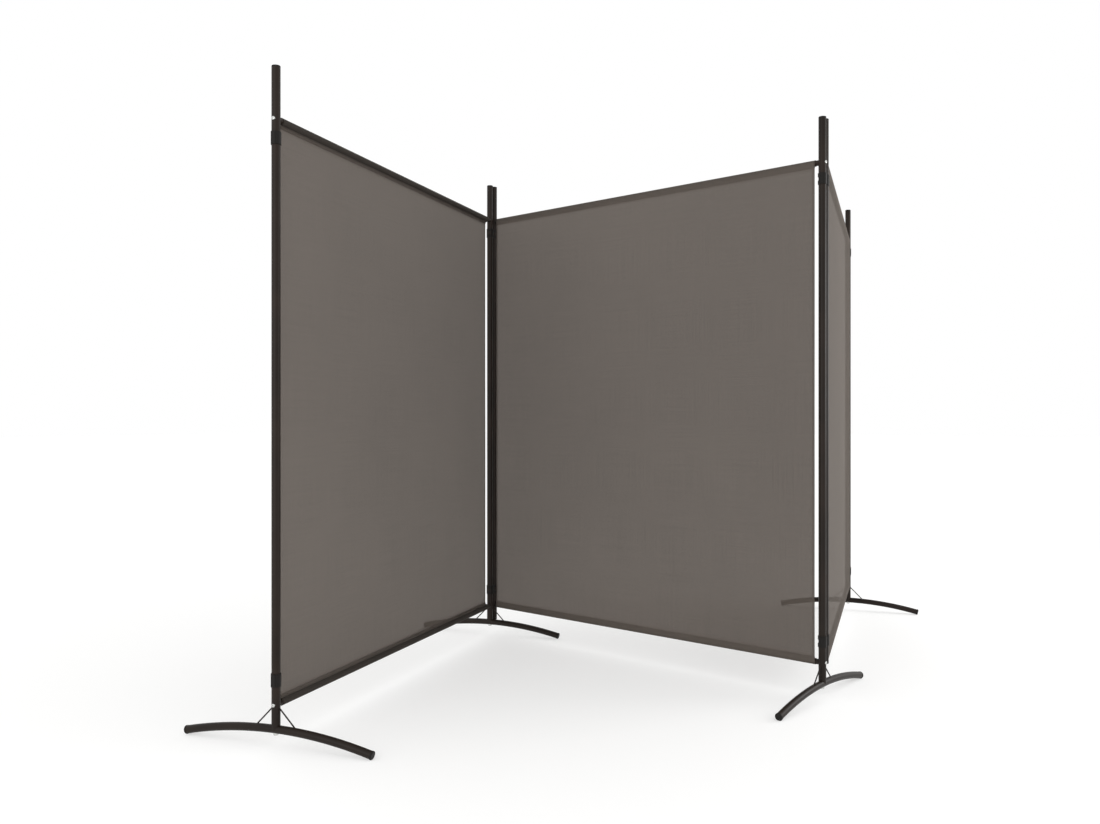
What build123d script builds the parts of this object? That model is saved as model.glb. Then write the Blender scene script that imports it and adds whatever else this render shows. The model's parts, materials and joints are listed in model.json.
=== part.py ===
# Free standing fabric room divider: three fabric panels between round steel posts, hinged in a zigzag
# X runs along the middle panel, Y away from the viewer, Z up from the floor, all in millimetres
# The origin is on the floor, at the middle of the divider's plan

import os
from math import asin, cos, degrees, radians, sin, sqrt

from build123d import *

# Overall sizes
total_height = 1800.0
panel_width = 1403.0
pair_gap = 5.0
fold_angle = 69.9
link_turn = 11.0

# Posts
post_d = 23.5
post_wall = 1.2
joint_above_middle = 5.0
post_ferrule_length = 120.0
cap_thickness = 4.0
cap_stem = 14.0
cap_edge = 1.5

# Crossbars
bar_d = 17.0
bar_wall = 1.2
bottom_bar_z = 110.0
bar_below_post_top = 141.0
bar_ferrule_length = 90.0
insert_length = 14.0

# Fabric
fabric_thickness = 1.1
pocket_slack = 0.3
# From each post's axis to the fabric's edge, at the left and the right end of each panel
left_panel_margins = (20.0, 26.0)
middle_panel_margins = (20.0, 21.0)
right_panel_margins = (24.0, 20.0)

# Feet
foot_d = 22.0
foot_wall = 1.5
foot_half_span = 289.0
foot_drop = 33.5
plug_lip = 0.8
plug_head = 5.0
plug_stem = 20.0
plug_edge = 2.5
plug_flat = 0.5
brace_d = 4.0
brace_reach = 58.0
brace_angle = 45.0
brace_bite = 3.0

# Fasteners
screw_d = 6.0
screw_head_d = 10.0
screw_head_rise = 2.2
screw_head_skirt = 1.3
screw_socket = 3.5
screw_socket_depth = 1.6
screw_head_round = 1.98
thread_end = 2.0
foot_bolt_d = 8.0
foot_bolt_head_d = 14.0
foot_bolt_head_rise = 4.5
foot_bolt_head_round = 1.8
foot_nut_length = 22.0
hole_clearance = 0.4
fit_clearance = 0.05

# Hinge clips
clip_wall = 1.77
clip_height = 34.0
clip_band = 11.0
clip_running = 0.08
clip_shell_angle = 126.0
clip_pad_width = 12.0
clip_above_bottom_bar = 48.0
clip_below_top_bar = 34.0
rivet_d = 3.0
rivet_spacing = 18.0
rivet_recess = 0.25

# The turning posts stop short of the floor: one beside a foot, the other just under its bottom bar
beside_foot_z = 50.0
post_below_bar = 0.5

# Derived sizes
post_r = post_d / 2
post_bore_r = post_r - post_wall
bar_r = bar_d / 2
bar_bore_r = bar_r - bar_wall
foot_r = foot_d / 2
foot_bore_r = foot_r - foot_wall
pair_spacing = post_d + pair_gap
post_top_z = total_height - cap_thickness
post_joint_z = total_height / 2 + joint_above_middle
top_bar_z = total_height - bar_below_post_top
bottom_clip_z = bottom_bar_z + clip_above_bottom_bar
top_clip_z = top_bar_z - clip_below_top_bar - clip_height
under_bar_z = bottom_bar_z - bar_r - post_below_bar
pocket_r = bar_r + pocket_slack
fabric_r = pocket_r + fabric_thickness
clip_bore_r = post_r + clip_running
clip_r = clip_bore_r + clip_wall

foot_arc_r = (foot_half_span**2 + foot_drop**2) / (2 * foot_drop)
foot_slope = degrees(asin(foot_half_span / foot_arc_r))
foot_plug_r = foot_r + plug_lip
foot_tip_z = foot_plug_r * cos(radians(foot_slope)) - plug_flat
foot_crown_z = foot_tip_z + foot_drop
foot_arc_centre_z = foot_crown_z - foot_arc_r

# Plan: the link joins the two posts of a pole, and the outer panels run parallel to each other
outer_turn = 180 - fold_angle
outer_along = Vector(cos(radians(outer_turn)), sin(radians(outer_turn)), 0)
outer_across = Vector(-outer_along.Y, outer_along.X, 0)
link_angle = outer_turn - link_turn
link = Vector(cos(radians(link_angle)), sin(radians(link_angle)), 0) * pair_spacing

half_panel = Vector(panel_width / 2, 0, 0)
foot_reach = foot_half_span + plug_head * cos(radians(foot_slope))
left_extent = half_panel.X + link.X + abs(outer_across.X) * foot_reach + abs(outer_along.X) * foot_plug_r
right_extent = half_panel.X + post_r + screw_head_rise
plan_shift = Vector((left_extent - right_extent) / 2, 0, 0)

post_2_right = plan_shift - half_panel
post_3_left = plan_shift + half_panel
post_2_left = post_2_right - link
post_3_right = post_3_left + link
post_1 = post_2_left - outer_along * panel_width
post_4 = post_3_right + outer_along * panel_width

# Each panel's own frame starts at its left post: X along the panel, Y square to it, away from the viewer
left_panel = Plane(origin=post_1, x_dir=outer_along, z_dir=(0, 0, 1))
middle_panel = Plane(origin=post_2_right, x_dir=(1, 0, 0), z_dir=(0, 0, 1))
right_panel = Plane(origin=post_3_right, x_dir=outer_along, z_dir=(0, 0, 1))


def place(panel, x, y, z):
    return panel.origin + panel.x_dir * x + panel.y_dir * y + Vector(0, 0, z)


def level(panel, x, z, turn=0.0):
    # A level plane over the post at x, its own X turned about the post
    facing = panel.x_dir * cos(radians(turn)) + panel.y_dir * sin(radians(turn))
    return Plane(origin=place(panel, x, 0, z), x_dir=facing, z_dir=(0, 0, 1))


def section(panel, x, z):
    # A plane square to the panel's length, its own X across the panel and its own Y up
    return Plane(origin=place(panel, x, 0, z), x_dir=panel.y_dir, z_dir=panel.x_dir)


def save(name, *pieces):
    # Several pieces stay separate solids in one node, even where they touch
    node = pieces[0] if len(pieces) == 1 else Compound([piece.solid() for piece in pieces])
    node.label = name
    export_step(node, f"parts/{name}.step")


def arched_rod(panel, x, radius):
    # A foot's arch as a solid bar, square to the panel and highest under the post
    tips = section(panel, x, foot_tip_z)
    start = tips.from_local_coords(Vector(-foot_half_span, 0, 0))
    crown = tips.from_local_coords(Vector(0, foot_drop, 0))
    end = tips.from_local_coords(Vector(foot_half_span, 0, 0))
    with BuildPart() as arch:
        with BuildLine() as path:
            ThreePointArc(start, crown, end)
        with BuildSketch(Plane(origin=path.line @ 0, z_dir=path.line % 0)):
            Circle(radius)
        sweep()
    return arch.part


def crown_rod(panel, x, radius):
    # The arch is straight enough under the post for a straight saddle
    with BuildPart() as saddle:
        crown = place(panel, x, 0, foot_crown_z)
        with BuildSketch(Plane(origin=crown, x_dir=panel.x_dir, z_dir=panel.y_dir)):
            Circle(radius)
        extrude(amount=post_d, both=True)
    return saddle.part


# Posts and what sits in them
def post_tube(panel, x, bottom, top, hole_z, saddle=None):
    with BuildPart() as tube:
        with BuildSketch(level(panel, x, bottom)):
            Circle(post_r)
            Circle(post_bore_r, mode=Mode.SUBTRACT)
        extrude(amount=top - bottom)
        with BuildSketch(section(panel, x, hole_z)):
            Circle(screw_d / 2 + hole_clearance)
        extrude(amount=post_r, both=True, mode=Mode.SUBTRACT)
        if saddle:
            add(saddle, mode=Mode.SUBTRACT)
    return tube.part


def post_ferrule(panel, x):
    with BuildPart() as ferrule:
        with BuildSketch(level(panel, x, post_joint_z - post_ferrule_length / 2)):
            Circle(post_bore_r - fit_clearance)
            Circle(post_bore_r - fit_clearance - post_wall, mode=Mode.SUBTRACT)
        extrude(amount=post_ferrule_length)
    return ferrule.part


def post_cap(panel, x, seat_z, way, hole_z):
    # The same cap closes a post's top and, turned over, the lower end of a post that has no foot
    # Its stem is drilled with the post, so a bar screw close by goes through both
    with BuildPart() as cap:
        with BuildSketch(level(panel, x, seat_z)):
            Circle(post_r)
        extrude(amount=way * cap_thickness)
        rim = cap.faces().sort_by(Axis.Z)[-1 if way > 0 else 0].edges()
        fillet(rim, cap_edge)
        with BuildSketch(level(panel, x, seat_z)):
            Circle(post_bore_r - fit_clearance)
        extrude(amount=-way * cap_stem)
        with BuildSketch(section(panel, x, hole_z)):
            Circle(screw_d / 2 + hole_clearance)
        extrude(amount=post_r, both=True, mode=Mode.SUBTRACT)
    return cap.part


# Crossbars, in two halves each, and the screws that hold them
def bar_half(panel, z, start, end, post_x):
    with BuildPart() as half:
        with BuildSketch(section(panel, start, z)):
            Circle(bar_r)
            Circle(bar_bore_r, mode=Mode.SUBTRACT)
        extrude(amount=end - start)
        with BuildSketch(level(panel, post_x, z - bar_d)):
            Circle(post_r + fit_clearance)
        extrude(amount=2 * bar_d, mode=Mode.SUBTRACT)
    return half.part


def bar_ferrule(panel, z):
    with BuildPart() as ferrule:
        with BuildSketch(section(panel, (panel_width - bar_ferrule_length) / 2, z)):
            Circle(bar_bore_r - fit_clearance)
            Circle(bar_bore_r - fit_clearance - bar_wall, mode=Mode.SUBTRACT)
        extrude(amount=bar_ferrule_length)
    return ferrule.part


def bar_insert(panel, x, z, inward):
    with BuildPart() as insert:
        with BuildSketch(section(panel, x, z)):
            Circle(bar_bore_r - fit_clearance)
            Circle(screw_d / 2 + fit_clearance, mode=Mode.SUBTRACT)
        extrude(amount=inward * (post_r + insert_length))
        with BuildSketch(level(panel, x, z - bar_d)):
            Circle(post_r + fit_clearance)
        extrude(amount=2 * bar_d, mode=Mode.SUBTRACT)
    return insert.part


def bar_screw(panel, x, z, inward):
    # Its domed head is hollowed underneath to sit on the round post
    head_top = section(panel, x - inward * (post_r + screw_head_rise), z)
    with BuildPart() as screw:
        with BuildSketch(head_top):
            Circle(screw_head_d / 2)
        extrude(amount=inward * (screw_head_rise + screw_head_skirt))
        rim = screw.faces().sort_by_distance(head_top.origin)[0].edges()
        fillet(rim, screw_head_round)
        with BuildSketch(level(panel, x, z - screw_head_d)):
            Circle(post_r + fit_clearance)
        extrude(amount=2 * screw_head_d, mode=Mode.SUBTRACT)
        with BuildSketch(head_top):
            RegularPolygon(screw_socket / 2, 6, major_radius=False)
        extrude(amount=inward * screw_socket_depth, mode=Mode.SUBTRACT)
        with BuildSketch(section(panel, x - inward * (post_r + screw_head_rise - screw_socket_depth), z)):
            Circle(screw_d / 2)
        extrude(amount=inward * (post_d + screw_head_rise - screw_socket_depth + insert_length - thread_end))
    return screw.part


# The fabric's sheet is tangent to the bars, behind them or in front of them, with a pocket round each
def fabric(panel, margins, side):
    face_y = side * (fabric_r - fabric_thickness / 2)
    bar_heights = ((0, bottom_bar_z), (0, top_bar_z))
    with BuildPart() as sheet:
        with BuildSketch(section(panel, margins[0], 0)):
            with Locations(*bar_heights):
                Circle(fabric_r)
            with Locations((face_y, (bottom_bar_z + top_bar_z) / 2)):
                Rectangle(fabric_thickness, top_bar_z - bottom_bar_z)
            with Locations(*bar_heights):
                Circle(pocket_r, mode=Mode.SUBTRACT)
        extrude(amount=panel_width - margins[0] - margins[1])
    return sheet.part


# Feet
def foot_tube(panel, x):
    bore = arched_rod(panel, x, foot_bore_r)
    with BuildPart() as tube:
        add(arched_rod(panel, x, foot_r))
        add(bore, mode=Mode.SUBTRACT)
        with BuildSketch(level(panel, x, 0)):
            Circle(foot_bolt_d / 2 + hole_clearance)
        extrude(amount=foot_crown_z + foot_d, mode=Mode.SUBTRACT)
    return tube.part


def foot_plug(panel, x, side):
    # A plastic plug with a round head, cut flat where it stands on the floor
    tip = section(panel, x, foot_tip_z).from_local_coords(Vector(side * foot_half_span, 0, 0))
    outward = panel.y_dir * (side * cos(radians(foot_slope))) - Vector(0, 0, sin(radians(foot_slope)))
    seat = Plane(origin=tip, x_dir=panel.x_dir, z_dir=outward)
    bore = arched_rod(panel, x, foot_bore_r - fit_clearance)
    with BuildPart() as plug:
        with BuildSketch(seat):
            Circle(foot_r)
        extrude(amount=-plug_stem)
        add(bore, mode=Mode.INTERSECT)
        with BuildSketch(seat):
            Circle(foot_plug_r)
        extrude(amount=plug_head)
        rim = plug.faces().sort_by_distance(seat.origin + outward * plug_head)[0].edges()
        fillet(rim, plug_edge)
        with BuildSketch(Plane(origin=(tip.X, tip.Y, 0))):
            Circle(2 * foot_d)
        extrude(amount=-foot_d, mode=Mode.SUBTRACT)
    return plug.part


def foot_brace(panel, x, side):
    # A straight wire from the post's side down to the top of the foot
    drop = sin(radians(brace_angle))
    out = cos(radians(brace_angle))
    foot_top_z = foot_arc_centre_z + sqrt((foot_arc_r + foot_r) ** 2 - brace_reach**2)
    run = (brace_reach - post_r) / out
    upper_z = foot_top_z + run * drop
    direction = panel.y_dir * (side * out) - Vector(0, 0, drop)
    start = place(panel, x, 0, upper_z) + panel.y_dir * (side * post_r) - direction * brace_bite
    saddle = arched_rod(panel, x, foot_r + fit_clearance)
    with BuildPart() as wire:
        with BuildSketch(Plane(origin=start, x_dir=panel.x_dir, z_dir=direction)):
            Circle(brace_d / 2)
        extrude(amount=run + 2 * brace_bite)
        with BuildSketch(level(panel, x, 0)):
            Circle(post_r + fit_clearance)
        extrude(amount=2 * upper_z, mode=Mode.SUBTRACT)
        add(saddle, mode=Mode.SUBTRACT)
    return wire.part


def foot_nut(panel, x):
    # A threaded plug in the post's lower end takes the bolt from below
    saddle = crown_rod(panel, x, foot_r + fit_clearance)
    with BuildPart() as nut:
        with BuildSketch(level(panel, x, foot_crown_z)):
            Circle(post_bore_r - fit_clearance)
            Circle(foot_bolt_d / 2 + fit_clearance, mode=Mode.SUBTRACT)
        extrude(amount=foot_r + foot_nut_length)
        add(saddle, mode=Mode.SUBTRACT)
    return nut.part


def foot_bolt(panel, x):
    saddle = crown_rod(panel, x, foot_r + fit_clearance)
    head_z = foot_crown_z - foot_r - foot_bolt_head_rise
    with BuildPart() as bolt:
        with BuildSketch(level(panel, x, head_z)):
            Circle(foot_bolt_head_d / 2)
        extrude(amount=foot_bolt_head_rise + foot_r)
        rim = bolt.faces().sort_by(Axis.Z)[0].edges()
        fillet(rim, foot_bolt_head_round)
        add(saddle, mode=Mode.SUBTRACT)
        with BuildSketch(level(panel, x, head_z + foot_bolt_head_rise / 2)):
            Circle(foot_bolt_d / 2)
        extrude(amount=foot_bolt_head_rise / 2 + foot_d + foot_nut_length - thread_end)
    return bolt.part


# Hinge clips: a shell on the outer side of the post, and two bands that close it on the panel side
def clip(panel, x, z, turn, pad_turn, riveted=True):
    with BuildPart() as sleeve:
        with BuildSketch(level(panel, x, z, pad_turn)):
            Circle(clip_r)
            with Locations((pair_spacing / 4, 0)):
                Rectangle(pair_spacing / 2, clip_pad_width)
            Circle(clip_bore_r, mode=Mode.SUBTRACT)
        extrude(amount=clip_height)
        with BuildSketch(level(panel, x, z + clip_band, turn)):
            reach = 2 * clip_r
            near = (reach * cos(radians(clip_shell_angle)), reach * sin(radians(clip_shell_angle)))
            Polygon((0, 0), near, (-reach, near[1]), (-reach, -near[1]), (near[0], -near[1]), align=None)
        extrude(amount=clip_height - 2 * clip_band, mode=Mode.SUBTRACT)
        if riveted:
            for rivet_z in rivet_heights(z):
                with BuildSketch(facing(panel, x, rivet_z, pad_turn)):
                    Circle(rivet_d / 2 + fit_clearance)
                extrude(amount=pair_spacing, mode=Mode.SUBTRACT)
    return sleeve.part


def rivet_heights(z):
    middle = z + clip_height / 2
    return (middle - rivet_spacing / 2, middle + rivet_spacing / 2)


def facing(panel, x, z, turn):
    upright = level(panel, x, z, turn)
    return Plane(origin=upright.origin, x_dir=upright.y_dir, z_dir=upright.x_dir)


def rivet(panel, x, z, turn):
    seat = facing(panel, x, z, turn)
    with BuildPart() as pin:
        with BuildSketch(seat.offset(clip_bore_r + rivet_recess)):
            Circle(rivet_d / 2)
        extrude(amount=pair_spacing - 2 * (clip_bore_r + rivet_recess))
    return pin.part


os.makedirs("parts", exist_ok=True)

# Each post: its name, panel, place along the panel, lower end, and whether it stands on a foot
posts = [
    ("post_1", left_panel, 0, foot_crown_z, True),
    ("post_2_left", left_panel, panel_width, foot_crown_z, True),
    ("post_2_right", middle_panel, 0, beside_foot_z, False),
    ("post_3_left", middle_panel, panel_width, foot_crown_z, True),
    ("post_3_right", right_panel, 0, under_bar_z, False),
    ("post_4", right_panel, panel_width, foot_crown_z, True),
]
for name, panel, x, lower_end, footed in posts:
    if footed:
        saddle = crown_rod(panel, x, foot_r + fit_clearance)
        lower = post_tube(panel, x, lower_end, post_joint_z, bottom_bar_z, saddle)
    else:
        lower = post_tube(panel, x, lower_end + cap_thickness, post_joint_z, bottom_bar_z)
    save(f"{name}_lower", lower)
    save(f"{name}_upper", post_tube(panel, x, post_joint_z, post_top_z, top_bar_z))

# The left panel carries its sheet behind its bars, the other two in front
behind = 1
in_front = -1
panels = [
    ("left", left_panel, left_panel_margins, behind),
    ("middle", middle_panel, middle_panel_margins, in_front),
    ("right", right_panel, right_panel_margins, in_front),
]
for name, panel, margins, side in panels:
    ends = [(0, 1), (panel_width, -1)]
    save(f"{name}_post_ferrules", *[post_ferrule(panel, x) for x, inward in ends])
    lower_ends = [lower_end for _, owner, x, lower_end, footed in posts if owner is panel and not footed]
    caps = [post_cap(panel, x, post_top_z, 1, top_bar_z) for x, inward in ends]
    caps += [post_cap(panel, 0, lower_end + cap_thickness, -1, bottom_bar_z) for lower_end in lower_ends]
    save(f"{name}_post_caps", *caps)
    for level_name, z in (("bottom", bottom_bar_z), ("top", top_bar_z)):
        left_half = bar_half(panel, z, 0, panel_width / 2, 0)
        right_half = bar_half(panel, z, panel_width / 2, panel_width, panel_width)
        save(f"{name}_{level_name}_bar", left_half, right_half)
    heights = (bottom_bar_z, top_bar_z)
    save(f"{name}_bar_ferrules", *[bar_ferrule(panel, z) for z in heights])
    save(f"{name}_bar_inserts", *[bar_insert(panel, x, z, inward) for x, inward in ends for z in heights])
    save(f"{name}_bar_screws", *[bar_screw(panel, x, z, inward) for x, inward in ends for z in heights])
    save(f"{name}_fabric", fabric(panel, margins, side))

feet = [
    ("foot_1", left_panel, 0),
    ("foot_2", left_panel, panel_width),
    ("foot_3", middle_panel, panel_width),
    ("foot_4", right_panel, panel_width),
]
for name, panel, x in feet:
    save(f"{name}_tube", foot_tube(panel, x))
    save(f"{name}_braces", foot_brace(panel, x, -1), foot_brace(panel, x, 1))
    save(f"{name}_plugs", foot_plug(panel, x, -1), foot_plug(panel, x, 1))
for name, panel, _, _ in panels:
    places = [x for _, owner, x in feet if owner is panel]
    save(f"{name}_foot_nuts", *[foot_nut(panel, x) for x in places])
    save(f"{name}_foot_bolts", *[foot_bolt(panel, x) for x in places])

# Turns are counted from each panel's own direction: an outer side faces along it or against it
clip_heights = (bottom_clip_z, top_clip_z)
save("pole_1_clips", *[clip(left_panel, 0, z, 180, 180, riveted=False) for z in clip_heights])
save("pole_4_clips", *[clip(right_panel, panel_width, z, 0, 0, riveted=False) for z in clip_heights])
pole_2_clips = [clip(left_panel, panel_width, z, 0, -link_turn) for z in clip_heights]
pole_2_clips += [clip(middle_panel, 0, z, 180, link_angle - 180) for z in clip_heights]
save("pole_2_clips", *pole_2_clips)
pole_3_clips = [clip(middle_panel, panel_width, z, 0, link_angle) for z in clip_heights]
pole_3_clips += [clip(right_panel, 0, z, 180, 180 - link_turn) for z in clip_heights]
save("pole_3_clips", *pole_3_clips)
all_rivet_heights = [height for z in clip_heights for height in rivet_heights(z)]
save("pole_2_rivets", *[rivet(left_panel, panel_width, z, -link_turn) for z in all_rivet_heights])
save("pole_3_rivets", *[rivet(middle_panel, panel_width, z, link_angle) for z in all_rivet_heights])
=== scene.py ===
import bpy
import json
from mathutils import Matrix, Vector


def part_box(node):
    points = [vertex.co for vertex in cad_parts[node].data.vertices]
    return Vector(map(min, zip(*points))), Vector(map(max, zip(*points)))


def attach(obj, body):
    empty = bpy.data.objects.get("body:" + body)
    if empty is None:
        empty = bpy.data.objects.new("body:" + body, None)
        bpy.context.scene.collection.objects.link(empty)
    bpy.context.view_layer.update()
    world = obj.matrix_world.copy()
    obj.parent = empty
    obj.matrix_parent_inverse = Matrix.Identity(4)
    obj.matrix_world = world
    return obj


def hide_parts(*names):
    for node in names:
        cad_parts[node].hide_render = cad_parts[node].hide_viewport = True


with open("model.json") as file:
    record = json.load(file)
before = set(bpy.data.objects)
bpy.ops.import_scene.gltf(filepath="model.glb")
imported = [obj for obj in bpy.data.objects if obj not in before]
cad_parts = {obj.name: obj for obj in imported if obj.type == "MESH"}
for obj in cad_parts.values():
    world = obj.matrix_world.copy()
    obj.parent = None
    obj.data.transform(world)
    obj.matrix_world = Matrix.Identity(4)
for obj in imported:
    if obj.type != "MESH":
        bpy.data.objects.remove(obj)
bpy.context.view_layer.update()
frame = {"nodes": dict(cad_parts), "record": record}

import json
import math

import bpy
from mathutils import Vector

# where things stand, all in metres and read from the frame

def nodeMiddle(node):
    low, high = (Vector(corner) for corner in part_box(node))
    return (low + high) / 2


def postFoot(post):
    # the point of the floor under a post's axis
    middle = nodeMiddle(f"{post}_upper")
    return Vector((middle.x, middle.y, 0))


# the left panel's cloth hangs behind its bars, the other two in front of theirs
panels = {
    "left": {"posts": ("post_1", "post_2_left"), "clothSide": 1, "seed": 1.3},
    "middle": {"posts": ("post_2_right", "post_3_left"), "clothSide": -1, "seed": 3.4},
    "right": {"posts": ("post_3_right", "post_4"), "clothSide": -1, "seed": 5.5},
}
for panel in panels.values():
    panel["from"], panel["to"] = (postFoot(post) for post in panel["posts"])
    panel["along"] = (panel["to"] - panel["from"]).normalized()
    panel["outward"] = Vector((0, 0, panel["clothSide"])).cross(panel["along"])
barHeights = {"bottom": nodeMiddle("middle_bottom_bar").z, "top": nodeMiddle("middle_top_bar").z}
print("frame loaded")


# camera

cameraPlace = {
    "fromMiddle": (1.967, -2.800),  # from the middle of the middle panel
    "height": 0.874,
    "looksAlong": (-0.6487, 0.7610),  # level, so that the posts stand upright in the picture
    "focalPixels": 952.9,
    "centrePixel": (546.9, 415.7),
    "picture": (1100, 824),
    "sensor": 36.0,
}


def makeCamera():
    data = bpy.data.cameras.new("camera")
    camera = bpy.data.objects.new("camera", data)
    bpy.context.scene.collection.objects.link(camera)
    middle = (panels["middle"]["from"] + panels["middle"]["to"]) / 2
    x, y = cameraPlace["fromMiddle"]
    camera.location = middle + Vector((x, y, cameraPlace["height"]))
    ahead = Vector((*cameraPlace["looksAlong"], 0)).normalized()
    camera.rotation_euler = ahead.to_track_quat("-Z", "Y").to_euler()
    wide, high = cameraPlace["picture"]
    data.sensor_width = cameraPlace["sensor"]
    data.lens = cameraPlace["focalPixels"] / wide * cameraPlace["sensor"]
    across, down = cameraPlace["centrePixel"]
    data.shift_x = (wide / 2 - across) / wide
    data.shift_y = (down - high / 2) / wide
    bpy.context.scene.camera = camera


makeCamera()
print("camera placed")


# materials

def linear(hexColour):
    # turns an sRGB hex value to the linear colour that the nodes take
    channels = [int(hexColour[i:i + 2], 16) / 255 for i in (1, 3, 5)]
    return [c / 12.92 if c <= 0.04045 else ((c + 0.055) / 1.055) ** 2.4 for c in channels] + [1.0]


def addNode(tree, kind, inputs=None, links=None, **settings):
    # adds one node with its settings, its fixed inputs and the links that feed it
    node = tree.nodes.new(kind)
    for key, value in settings.items():
        setattr(node, key, value)
    for key, value in (inputs or {}).items():
        node.inputs[key].default_value = value
    for key, source in (links or {}).items():
        tree.links.new(source, node.inputs[key])
    return node


def newMaterial(name):
    material = bpy.data.materials.new(name)
    material.use_nodes = True
    tree = material.node_tree
    tree.nodes.clear()
    output = addNode(tree, "ShaderNodeOutputMaterial")
    return material, tree, output


def rampStops(node, stops):
    # sets the place and the colour of a ramp's two ends
    for element, (place, colour) in zip(node.color_ramp.elements, stops):
        element.position = place
        element.color = colour


powderCoat = {
    "dark": "#1A130E",
    "light": "#251C16",
    "cloudsPerMetre": 9.0,  # slow changes of tone along a tube
    "grain": 0.0011,  # the orange peel of a baked powder coat, about a millimetre across
    "peelHeight": 0.00004,
    "roughness": (0.36, 0.5),
}


def makePowderCoat():
    # powder coated steel tube: an even dark brown with a faint orange peel and a soft sheen
    material, tree, output = newMaterial("powder coated steel")
    place = addNode(tree, "ShaderNodeTexCoord").outputs["Object"]
    cloud = addNode(tree, "ShaderNodeTexNoise", {"Scale": powderCoat["cloudsPerMetre"], "Detail": 3.0},
                    {"Vector": place})
    tone = addNode(tree, "ShaderNodeValToRGB", links={"Fac": cloud.outputs["Fac"]})
    rampStops(tone, [(0.35, linear(powderCoat["dark"])), (0.7, linear(powderCoat["light"]))])
    peel = addNode(tree, "ShaderNodeTexNoise", {"Scale": 1 / powderCoat["grain"], "Detail": 2.0},
                   {"Vector": place})
    bump = addNode(tree, "ShaderNodeBump", {"Strength": 0.35, "Distance": powderCoat["peelHeight"]},
                   {"Height": peel.outputs["Fac"]})
    smooth, rough = powderCoat["roughness"]
    sheen = addNode(tree, "ShaderNodeMapRange", {"To Min": smooth, "To Max": rough},
                    {"Value": cloud.outputs["Fac"]})
    shader = addNode(tree, "ShaderNodeBsdfPrincipled",
                     {"Metallic": 0.0, "IOR": 1.5, "Specular IOR Level": 0.19},
                     {"Base Color": tone.outputs["Color"], "Roughness": sheen.outputs["Result"],
                      "Normal": bump.outputs["Normal"]})
    tree.links.new(shader.outputs["BSDF"], output.inputs["Surface"])
    return material


blackPlastic = {"dark": "#0F0D0B", "light": "#181513", "grain": 0.0007, "grainHeight": 0.00003}


def makeBlackPlastic():
    # injection moulded polyamide: near black, with the fine spark-eroded grain of its mould
    material, tree, output = newMaterial("moulded black polyamide")
    place = addNode(tree, "ShaderNodeTexCoord").outputs["Object"]
    grain = addNode(tree, "ShaderNodeTexNoise", {"Scale": 1 / blackPlastic["grain"], "Detail": 1.0},
                    {"Vector": place})
    tone = addNode(tree, "ShaderNodeValToRGB", links={"Fac": grain.outputs["Fac"]})
    rampStops(tone, [(0.3, linear(blackPlastic["dark"])), (0.7, linear(blackPlastic["light"]))])
    bump = addNode(tree, "ShaderNodeBump", {"Strength": 0.4, "Distance": blackPlastic["grainHeight"]},
                   {"Height": grain.outputs["Fac"]})
    shader = addNode(tree, "ShaderNodeBsdfPrincipled",
                     {"Roughness": 0.55, "IOR": 1.5, "Specular IOR Level": 0.2},
                     {"Base Color": tone.outputs["Color"], "Normal": bump.outputs["Normal"]})
    tree.links.new(shader.outputs["BSDF"], output.inputs["Surface"])
    return material


zincPlate = {"dark": "#B4B5B3", "light": "#E2E3E0", "streak": 0.0016, "roughness": (0.22, 0.38)}


def makeZincPlate():
    # bright zinc plated steel: pale, cool and slightly cloudy from its passivation
    material, tree, output = newMaterial("bright zinc plated steel")
    place = addNode(tree, "ShaderNodeTexCoord").outputs["Object"]
    cloud = addNode(tree, "ShaderNodeTexNoise", {"Scale": 1 / zincPlate["streak"], "Detail": 2.0},
                    {"Vector": place})
    tone = addNode(tree, "ShaderNodeValToRGB", links={"Fac": cloud.outputs["Fac"]})
    rampStops(tone, [(0.3, linear(zincPlate["dark"])), (0.75, linear(zincPlate["light"]))])
    smooth, rough = zincPlate["roughness"]
    wear = addNode(tree, "ShaderNodeMapRange", {"To Min": smooth, "To Max": rough},
                   {"Value": cloud.outputs["Fac"]})
    shader = addNode(tree, "ShaderNodeBsdfPrincipled", {"Metallic": 1.0},
                     {"Base Color": tone.outputs["Color"], "Roughness": wear.outputs["Result"]})
    tree.links.new(shader.outputs["BSDF"], output.inputs["Surface"])
    return material


cloth = {
    "weft": "#6F6760",
    "warp": "#605953",
    "threadPitch": 0.0012,  # real threads lie 0.4 mm apart, drawn coarser so that they show
    "slubWidth": 0.0011,
    "slubLength": 0.25,
    "slubShade": (0.95, 1.05),  # how dark its thinnest and how pale its thickest threads are
    "cloudsPerMetre": 2.2,
    "cloudShade": (0.965, 1.035),
    "reliefHeight": 0.00018,
    "slubRelief": 0.6,  # how much of the relief the slubs make, beside the weave
    "seeThrough": 0.26,  # of each face of the cloth, which has two
    "seeThroughHem": 0.21,
    # the least see-through, next to a bar; its fade beyond the pocket's seam is painted shade
    "seeThroughBar": 0.08,
    "paintedBarShade": 0.5,  # how much darker the painted shade at a bar makes the cloth, on the pocket round the dark bar and on the cloth next to it
    "tint": "#FCF8F5",  # of the light that comes straight through the weave
    "glow": 0.35,  # the share of the light that its threads pass on to the far side
}


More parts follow.
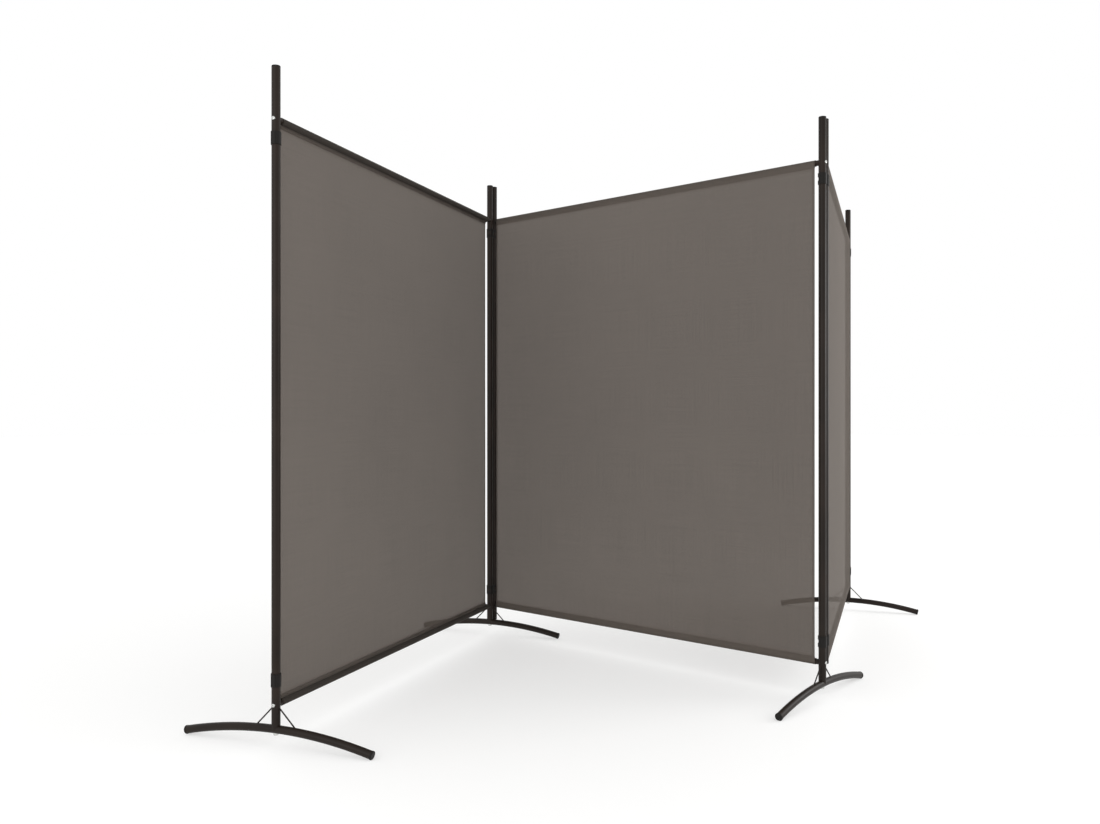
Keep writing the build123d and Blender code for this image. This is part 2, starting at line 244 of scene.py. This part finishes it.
def makeCloth():
    # plain woven polyester: a warm taupe grey, matt, and thin enough for light to come through its weave
    material, tree, output = newMaterial("plain woven polyester")
    place = addNode(tree, "ShaderNodeTexCoord").outputs["UV"]
    split = addNode(tree, "ShaderNodeSeparateXYZ", links={"Vector": place})
    turnsPerMetre = math.tau / (2 * cloth["threadPitch"])
    threads = []
    for source in (split.outputs["X"], split.outputs["Y"]):
        wave = addNode(tree, "ShaderNodeMath", {1: turnsPerMetre}, {0: source}, operation="MULTIPLY")
        thread = addNode(tree, "ShaderNodeMath", links={0: wave.outputs[0]}, operation="SINE")
        threads.append(thread.outputs[0])
    checker = addNode(tree, "ShaderNodeMath", links={0: threads[0], 1: threads[1]},
                      operation="MULTIPLY").outputs[0]
    weave = addNode(tree, "ShaderNodeMapRange", {"From Min": -1.0, "From Max": 1.0},
                    {"Value": checker}).outputs[0]

    # slubs are the thicker stretches of single threads, long across or long up the cloth
    perLength, perWidth = 1 / cloth["slubLength"], 1 / cloth["slubWidth"]
    slubs = []
    for stretch in ((perLength, perWidth, 1.0), (perWidth, perLength, 1.0)):
        thin = addNode(tree, "ShaderNodeMapping", {"Scale": stretch}, {"Vector": place})
        slubs.append(addNode(tree, "ShaderNodeTexNoise", {"Scale": 1.0, "Detail": 1.0},
                             {"Vector": thin.outputs["Vector"]}).outputs["Fac"])
    slub = addNode(tree, "ShaderNodeMath", links={0: slubs[0], 1: slubs[1]}, operation="ADD").outputs[0]
    cloud = addNode(tree, "ShaderNodeTexNoise", {"Scale": cloth["cloudsPerMetre"], "Detail": 2.0},
                    {"Vector": place}).outputs["Fac"]

    base = addNode(tree, "ShaderNodeMix", {6: linear(cloth["warp"]), 7: linear(cloth["weft"])},
                   {0: weave}, data_type="RGBA").outputs[2]
    dark, pale = cloth["slubShade"]
    slubShade = addNode(tree, "ShaderNodeMapRange",
                        {"From Min": 0.7, "From Max": 1.3, "To Min": dark, "To Max": pale},
                        {"Value": slub}).outputs[0]
    dark, pale = cloth["cloudShade"]
    cloudShade = addNode(tree, "ShaderNodeMapRange",
                         {"From Min": 0.3, "From Max": 0.7, "To Min": dark, "To Max": pale},
                         {"Value": cloud}).outputs[0]
    tone = addNode(tree, "ShaderNodeMath", links={0: slubShade, 1: cloudShade},
                   operation="MULTIPLY").outputs[0]
    # painted shade: the cloth is painted darker over the dark bar and next to it, where the bar shows
    # through and shades it; on the face, values below zero paint it paler
    barCoverAndShadow = addNode(tree, "ShaderNodeAttribute", attribute_name="barCoverAndShadow").outputs["Fac"]
    paintedBarShade = addNode(tree, "ShaderNodeAttribute", attribute_name="paintedBarShade").outputs["Fac"]
    paintedBarTone = addNode(tree, "ShaderNodeMapRange", {"To Min": 1.0, "To Max": 1.0 - cloth["paintedBarShade"]},
                      {"Value": paintedBarShade}, clamp=False).outputs[0]
    shaded = addNode(tree, "ShaderNodeMath", links={0: tone, 1: paintedBarTone}, operation="MULTIPLY").outputs[0]
    colour = addNode(tree, "ShaderNodeVectorMath", links={0: base, 3: shaded}, operation="SCALE").outputs[0]

    relief = addNode(tree, "ShaderNodeMath", {1: cloth["slubRelief"]}, {0: slub, 2: weave},
                     operation="MULTIPLY_ADD").outputs[0]
    bump = addNode(tree, "ShaderNodeBump", {"Strength": 0.5, "Distance": cloth["reliefHeight"]},
                   {"Height": relief})
    surface = addNode(tree, "ShaderNodeBsdfPrincipled",
                      {"Roughness": 0.86, "IOR": 1.45, "Sheen Weight": 0.05, "Sheen Roughness": 0.5,
                       "Specular IOR Level": 0.1},
                      {"Base Color": colour, "Normal": bump.outputs["Normal"]})
    glow = addNode(tree, "ShaderNodeBsdfTranslucent", links={"Color": colour})
    lit = addNode(tree, "ShaderNodeMixShader", {0: cloth["glow"]},
                  {1: surface.outputs[0], 2: glow.outputs[0]})
    # the side hems are folded double, so less of the room behind shows through them
    hem = addNode(tree, "ShaderNodeAttribute", attribute_name="hem").outputs["Fac"]
    hemmed = addNode(tree, "ShaderNodeMapRange",
                     {"To Min": cloth["seeThrough"], "To Max": cloth["seeThroughHem"]},
                     {"Value": hem}).outputs[0]
    # less of the room shows through near a bar: over the bar and its folded layer because they block it, and
    # beyond the pocket's seam as painted shade that fades out
    opening = addNode(tree, "ShaderNodeMapRange", {"To Max": cloth["seeThroughBar"]},
                      {"Value": barCoverAndShadow, "To Min": hemmed}).outputs[0]
    clear = addNode(tree, "ShaderNodeBsdfTransparent", {"Color": linear(cloth["tint"])})
    mixed = addNode(tree, "ShaderNodeMixShader",
                    links={0: opening, 1: lit.outputs[0], 2: clear.outputs[0]})
    tree.links.new(mixed.outputs[0], output.inputs["Surface"])
    return material


sewingThread = {"light": "#5F564F", "dark": "#4A423C", "twist": 0.0007}


def makeSewingThread():
    # spun polyester thread, a shade darker than the cloth, with a soft twist
    material, tree, output = newMaterial("spun polyester thread")
    place = addNode(tree, "ShaderNodeTexCoord").outputs["Object"]
    twist = addNode(tree, "ShaderNodeTexNoise", {"Scale": 1 / sewingThread["twist"], "Detail": 1.0},
                    {"Vector": place})
    tone = addNode(tree, "ShaderNodeValToRGB", links={"Fac": twist.outputs["Fac"]})
    rampStops(tone, [(0.3, linear(sewingThread["dark"])), (0.7, linear(sewingThread["light"]))])
    shader = addNode(tree, "ShaderNodeBsdfPrincipled", {"Roughness": 0.7},
                     {"Base Color": tone.outputs["Color"]})
    tree.links.new(shader.outputs["BSDF"], output.inputs["Surface"])
    return material


slotMaterials = {
    "brown_steel": makePowderCoat(),
    "black_plastic": makeBlackPlastic(),
    "zinc_steel": makeZincPlate(),
}
for entry in frame["record"]["subparts"]:
    if entry["material_slot"] in slotMaterials:
        mesh = frame["nodes"][entry["node"]].data
        mesh.materials.clear()
        mesh.materials.append(slotMaterials[entry["material_slot"]])
print("frame nodes finished")


# the three fabric panels

fabricSheet = {
    "thickness": 0.0007,
    "pocketRadius": 0.0093,  # from a bar's axis to the middle of the cloth round it
    "crease": math.radians(285),  # how far round the bar the pocket goes before it folds flat
    "turns": 30,  # points round the pocket
    "layerGap": 0.00095,  # between the face and the folded layer behind it
    # the fold from the pocket to the folded layer, as shares of the layer's and the pocket's distance
    "fold": [(0.55, 1.04), (0.75, 1.12), (0.87, 1.22), (0.94, 1.33), (0.98, 1.45)],
    "seam": 0.0165,  # from a bar's axis to the end of the folded layer
    "stitchLine": 0.0145,  # from a bar's axis to the stitches that close its pocket
    "rowsByPocket": [0.005, 0.010, 0.016, 0.024],  # closer rows of points next to each pocket
    "evenRowsFrom": 0.034,
    "rows": 110,
    "hemWidth": 0.009,
    "hemStep": 0.001,  # in which the cloth goes from the folded hem to a single layer
    "evenColumnsFrom": 0.02,
    "columns": 140,
    "paintedShadeReach": 0.027,  # from a bar's axis to where its painted shade, and the lower see-through near it, end on the cloth
    "paintedShadeFade": 1.3,  # a higher power fades the painted shade sooner
    # painted shade on the face, by the distance from the bar's axis towards the panel's middle: below zero
    # the cloth is painted paler, as two layers send back more light than one, and above zero painted darker
    # where it rounds the bar
    "paintedFaceShade": [(-0.0093, 0.3), (0.0, -0.15), (0.0093, -0.45), (0.0165, -0.35), (0.027, 0.0)],
    "ripple": 0.0008,
    "rippleFade": 0.25,  # from a pocket's stitches to where the ripples have their full depth
    # each wave of the ripples: its share, its rate across and up in radians a metre, and what the seed adds
    "waves": [(1.0, 3.1, 1.7, 1.0), (0.6, 7.3, -2.9, 2.1), (0.35, 1.3, 11.0, 0.7)],
    "puckerPitch": 0.021,
    "puckerDepth": 0.0002,
    "puckerFade": 0.02,
    "puckerDrift": 3.0,  # how far the puckers wander from an even pitch, in radians
    "driftRate": 5.0,
}


def pocketPath(barUp, way):
    # from the single cloth round the bar to the folded layer's end, as (outward, up) points
    # way is 1 at the top bar and -1 at the bottom one
    radius = fabricSheet["pocketRadius"]
    inner = radius - fabricSheet["layerGap"]
    seam = fabricSheet["seam"]
    path = [(radius, seam), (radius, (seam + radius) / 2), (radius, radius / 2)]
    turns = fabricSheet["turns"]
    for turn in range(turns + 1):
        angle = fabricSheet["crease"] * turn / turns
        path.append((radius * math.cos(angle), -radius * math.sin(angle)))
    path += [(inner * out, radius * down) for out, down in fabricSheet["fold"]]
    path.append((inner, seam))
    return [(out, barUp - way * down) for out, down in path]


def sheetOutline():
    # the cloth's path across a panel: the bottom pocket, the open face, and the top pocket
    bottomPocket = pocketPath(barHeights["bottom"], -1)[::-1]
    topPocket = pocketPath(barHeights["top"], 1)
    out, low = bottomPocket[-1]
    high = topPocket[0][1]
    byPocket, first, rows = (fabricSheet[key] for key in ("rowsByPocket", "evenRowsFrom", "rows"))
    heights = [low + step for step in byPocket]
    heights += [low + first + (high - low - 2 * first) * row / rows for row in range(rows + 1)]
    heights += [high - step for step in byPocket[::-1]]
    face = [(out, up) for up in heights]
    return bottomPocket + face + topPocket


def wobble(x, up, seed):
    # slow waves of stretched cloth, from -1 to 1 and the same on every run
    waves = fabricSheet["waves"]
    total = sum(share * math.sin(across * x + upward * up + shift * seed)
                for share, across, upward, shift in waves)
    return total / sum(share for share, *_ in waves)


def clothSpot(panel, x, up, out):
    # a point of the cloth, with its ripples and the pucker of its seams
    bottom = barHeights["bottom"] + fabricSheet["stitchLine"]
    top = barHeights["top"] - fabricSheet["stitchLine"]
    fade = fabricSheet["rippleFade"]
    inside = min(max((up - bottom) / fade, 0), 1) * min(max((top - up) / fade, 0), 1)
    push = fabricSheet["ripple"] * wobble(x, up, panel["seed"]) * inside
    nearSeam = sum(math.exp(-abs(up - seam) / fabricSheet["puckerFade"]) for seam in (bottom, top))
    facing = max(out / fabricSheet["pocketRadius"], 0) ** 2  # a pocket's far side lies tight on its bar
    drift = fabricSheet["puckerDrift"] * math.sin(fabricSheet["driftRate"] * x + panel["seed"])
    pucker = math.sin(math.tau * x / fabricSheet["puckerPitch"] + drift)
    depth = out + push + fabricSheet["puckerDepth"] * pucker * nearSeam * facing
    spot = panel["from"] + panel["along"] * x + panel["outward"] * depth
    return spot.x, spot.y, up


def paintedFaceShade(inward):
    # how dark the painted shade makes the face at a distance from a bar's axis towards the panel's middle
    stops = fabricSheet["paintedFaceShade"]
    for (low, before), (high, after) in zip(stops, stops[1:]):
        if inward <= high:
            return before + (after - before) * max((inward - low) / (high - low), 0)
    return stops[-1][1]


def sheetEnds(name):
    # where the cloth starts and ends along its panel, from the fabric node's own corners
    panel = panels[name]
    mesh = frame["nodes"][f"{name}_fabric"].data
    places = [(vertex.co - panel["from"]).dot(panel["along"]) for vertex in mesh.vertices]
    return min(places), max(places)


def sheetColumns(start, end):
    # the places of the cloth's columns of points, closer at its two hems
    hem, step, first, columns = (
        fabricSheet[key] for key in ("hemWidth", "hemStep", "evenColumnsFrom", "columns"))
    places = [start, start + hem, start + hem + step]
    places += [start + first + (end - start - 2 * first) * column / columns for column in range(columns + 1)]
    return places + [end - hem - step, end - hem, end]


def markCloth(mesh, across, outline):
    # marks each point as hem, with how near it lies to a bar, and with its share of the bar's painted shade
    marks = ("hem", "barCoverAndShadow", "paintedBarShade")
    for mark in marks:
        mesh.attributes.new(mark, "FLOAT", "POINT")
    hemMark, barCoverAndShadowMark, paintedBarShadeMark = (mesh.attributes[mark].data for mark in marks)
    reach = fabricSheet["paintedShadeReach"]
    hemColumns = across[:2] + across[-2:]
    spots = [(x, out, up) for x in across for out, up in outline]
    for index, (x, out, up) in enumerate(spots):
        inward = min(up - barHeights["bottom"], barHeights["top"] - up)
        closeness = min(max((reach - abs(inward)) / (reach - fabricSheet["pocketRadius"]), 0), 1)
        nearBar = closeness ** fabricSheet["paintedShadeFade"]
        hemMark[index].value = 1.0 if x in hemColumns else 0.0
        barCoverAndShadowMark[index].value = nearBar
        # painted shade: on the face side it follows the distance from the bar's axis, on the pocket's far
        # side it fades with nearness to the bar
        paintedBarShadeMark[index].value = paintedFaceShade(inward) if out > 0 else nearBar


def makeSheet(name):
    panel = panels[name]
    start, end = sheetEnds(name)
    outline = sheetOutline()
    lengths = [0.0]
    for before, after in zip(outline, outline[1:]):
        lengths.append(lengths[-1] + math.hypot(after[0] - before[0], after[1] - before[1]))
    across = sheetColumns(start, end)
    vertices = [clothSpot(panel, x, up, out) for x in across for out, up in outline]
    rows = len(outline)
    faces = []
    for column in range(len(across) - 1):
        here, beside = column * rows, (column + 1) * rows
        faces += [(here + row, beside + row, beside + row + 1, here + row + 1) for row in range(rows - 1)]
    mesh = bpy.data.meshes.new(f"{name}_cloth")
    mesh.from_pydata(vertices, [], faces)
    layout = [(x, length) for x in across for length in lengths]
    uv = mesh.uv_layers.new(name="cloth")
    for loop in mesh.loops:
        uv.data[loop.index].uv = layout[loop.vertex_index]
    markCloth(mesh, across, outline)
    for polygon in mesh.polygons:
        polygon.use_smooth = True
    piece = bpy.data.objects.new(f"{name}_cloth", mesh)
    bpy.context.scene.collection.objects.link(piece)
    thicken = piece.modifiers.new("thickness", "SOLIDIFY")
    thicken.thickness = fabricSheet["thickness"]
    thicken.offset = 0.0
    mesh.materials.append(clothMaterial)
    return piece, (end - start, lengths[-1])


# the stitches along each pocket and each side hem

stitching = {
    "length": 0.0026,
    "pitch": 0.0036,  # a heavy-duty lockstitch, about seven to the inch
    "thread": 0.0006,  # drawn a little thicker than real thread, so that it shows
    "lift": 0.0004,  # from the middle of the cloth to the thread on its face
    "fromEdge": 0.007,  # from the cloth's side edge to its hem's stitches
    "pocketSeamStart": 0.003,  # from the cloth's side edge to a pocket seam's first stitch
    "pocketSeamPoints": 400,
    "hemSeamStart": 0.004,  # from a pocket's stitches to a hem seam's first stitch
    "hemSeamPoints": 300,
}


def makeStitchTree():
    # lays thread-shaped stitches at an even pitch along every edge of a mesh
    tree = bpy.data.node_groups.new("lockstitch rows", "GeometryNodeTree")
    tree.interface.new_socket("Seams", in_out="INPUT", socket_type="NodeSocketGeometry")
    for name in ("Stitch length", "Stitch pitch", "Thread thickness"):
        tree.interface.new_socket(name, in_out="INPUT", socket_type="NodeSocketFloat")
    tree.interface.new_socket("Thread", in_out="INPUT", socket_type="NodeSocketMaterial")
    tree.interface.new_socket("Stitches", in_out="OUTPUT", socket_type="NodeSocketGeometry")
    given = addNode(tree, "NodeGroupInput").outputs
    lines = addNode(tree, "GeometryNodeMeshToCurve", links={"Mesh": given["Seams"]})
    spots = addNode(tree, "GeometryNodeCurveToPoints", mode="LENGTH",
                    links={"Curve": lines.outputs[0], "Length": given["Stitch pitch"]})
    # a bead one unit across, so that its scale is a stitch's size
    bead = addNode(tree, "GeometryNodeMeshUVSphere", {"Segments": 6, "Rings": 3, "Radius": 0.5})
    size = addNode(tree, "ShaderNodeCombineXYZ", links={"X": given["Thread thickness"],
                                                        "Y": given["Thread thickness"],
                                                        "Z": given["Stitch length"]})
    row = addNode(tree, "GeometryNodeInstanceOnPoints",
                  links={"Points": spots.outputs["Points"], "Instance": bead.outputs["Mesh"],
                         "Rotation": spots.outputs["Rotation"], "Scale": size.outputs[0]})
    real = addNode(tree, "GeometryNodeRealizeInstances", links={"Geometry": row.outputs[0]})
    sewn = addNode(tree, "GeometryNodeSetMaterial",
                   links={"Geometry": real.outputs[0], "Material": given["Thread"]})
    addNode(tree, "NodeGroupOutput", links={"Stitches": sewn.outputs[0]})
    return tree


def seamLines(name):
    # each row of stitches as points on the cloth's two faces
    panel = panels[name]
    start, end = sheetEnds(name)
    face = fabricSheet["pocketRadius"]
    gap = fabricSheet["layerGap"]
    lift = stitching["lift"]
    bottom = barHeights["bottom"] + fabricSheet["stitchLine"]
    top = barHeights["top"] - fabricSheet["stitchLine"]
    margin, steps = stitching["pocketSeamStart"], stitching["pocketSeamPoints"]
    pocketSeam = [start + margin + (end - start - 2 * margin) * step / steps for step in range(steps + 1)]
    margin, steps = stitching["hemSeamStart"], stitching["hemSeamPoints"]
    hemSeam = [bottom + margin + (top - bottom - 2 * margin) * step / steps for step in range(steps + 1)]
    lines = [[(x, up, out) for x in pocketSeam]
             for up in (bottom, top) for out in (face + lift, face - gap - lift)]
    lines += [[(x, up, out) for up in hemSeam]
              for x in (start + stitching["fromEdge"], end - stitching["fromEdge"])
              for out in (face + lift, face - lift)]
    return [[clothSpot(panel, x, up, out) for x, up, out in line] for line in lines]


def makeStitches(name):
    vertices, edges = [], []
    for line in seamLines(name):
        first = len(vertices)
        vertices += line
        edges += [(index, index + 1) for index in range(first, first + len(line) - 1)]
    mesh = bpy.data.meshes.new(f"{name}_seam_lines")
    mesh.from_pydata(vertices, edges, [])
    piece = bpy.data.objects.new(f"{name}_stitches", mesh)
    bpy.context.scene.collection.objects.link(piece)
    rows = piece.modifiers.new("stitches", "NODES")
    rows.node_group = stitchTree
    inputs = {"Stitch length": stitching["length"], "Stitch pitch": stitching["pitch"],
              "Thread thickness": stitching["thread"], "Thread": threadMaterial}
    for socket in stitchTree.interface.items_tree:
        if socket.name in inputs:
            rows[socket.identifier] = inputs[socket.name]
    graph = bpy.context.evaluated_depsgraph_get()
    stitches = bpy.data.meshes.new_from_object(piece.evaluated_get(graph))
    piece.modifiers.remove(rows)
    piece.data = stitches
    bpy.data.meshes.remove(mesh)
    return piece


clothMaterial = makeCloth()
threadMaterial = makeSewingThread()
stitchTree = makeStitchTree()
for name in panels:
    sheet, flat = makeSheet(name)
    stitches = makeStitches(name)
    for piece in (sheet, stitches):
        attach(piece, f"{name}_panel")
    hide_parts(f"{name}_fabric")
print("fabric stretched and stitched")


# floor and light

room = {
    "floorSize": 80.0,
    "floorDrop": 0.0004,  # keeps the floor from sharing a face with the plugs that stand on it
    "floorTone": "#BCBCBB",
    "floorGlow": 0.5,  # the floor gives off some light of its own, so the shade under the panels stays pale
    "worldStrength": 1.0,
    "lights": {  # place, power in watts and size of each soft lamp
        "side": ((2.6, 2.3, 1.5), 40.0, 1.6),
        "front": ((0.9, -5.0, 1.6), 46.0, 3.0),
    },
    "lampsFace": (0.0, 0.0, 0.8),
}


def makeRoom():
    floorMesh = bpy.data.meshes.new("floor")
    half, level = room["floorSize"] / 2, -room["floorDrop"]
    corners = [(-half, -half, level), (half, -half, level), (half, half, level), (-half, half, level)]
    floorMesh.from_pydata(corners, [], [(0, 1, 2, 3)])
    floor = bpy.data.objects.new("floor", floorMesh)
    bpy.context.scene.collection.objects.link(floor)
    material, tree, output = newMaterial("pale studio floor")
    shader = addNode(tree, "ShaderNodeBsdfPrincipled",
                     {"Base Color": linear(room["floorTone"]), "Roughness": 0.9, "Specular IOR Level": 0.1,
                      "Emission Color": linear("#FFFFFF"), "Emission Strength": room["floorGlow"]})
    tree.links.new(shader.outputs["BSDF"], output.inputs["Surface"])
    floorMesh.materials.append(material)
    world = bpy.data.worlds.new("soft white room")
    bpy.context.scene.world = world
    world.use_nodes = True
    background = world.node_tree.nodes["Background"]
    background.inputs["Color"].default_value = linear("#FFFFFF")
    background.inputs["Strength"].default_value = room["worldStrength"]
    for name, (spot, power, size) in room["lights"].items():
        light = bpy.data.lights.new(name, "AREA")
        light.energy = power
        light.size = size
        lamp = bpy.data.objects.new(name, light)
        lamp.location = spot
        facing = Vector(room["lampsFace"]) - lamp.location
        lamp.rotation_euler = facing.to_track_quat("-Z", "Y").to_euler()
        bpy.context.scene.collection.objects.link(lamp)
    bpy.context.scene.view_settings.view_transform = "Standard"


makeRoom()
print("room lit")
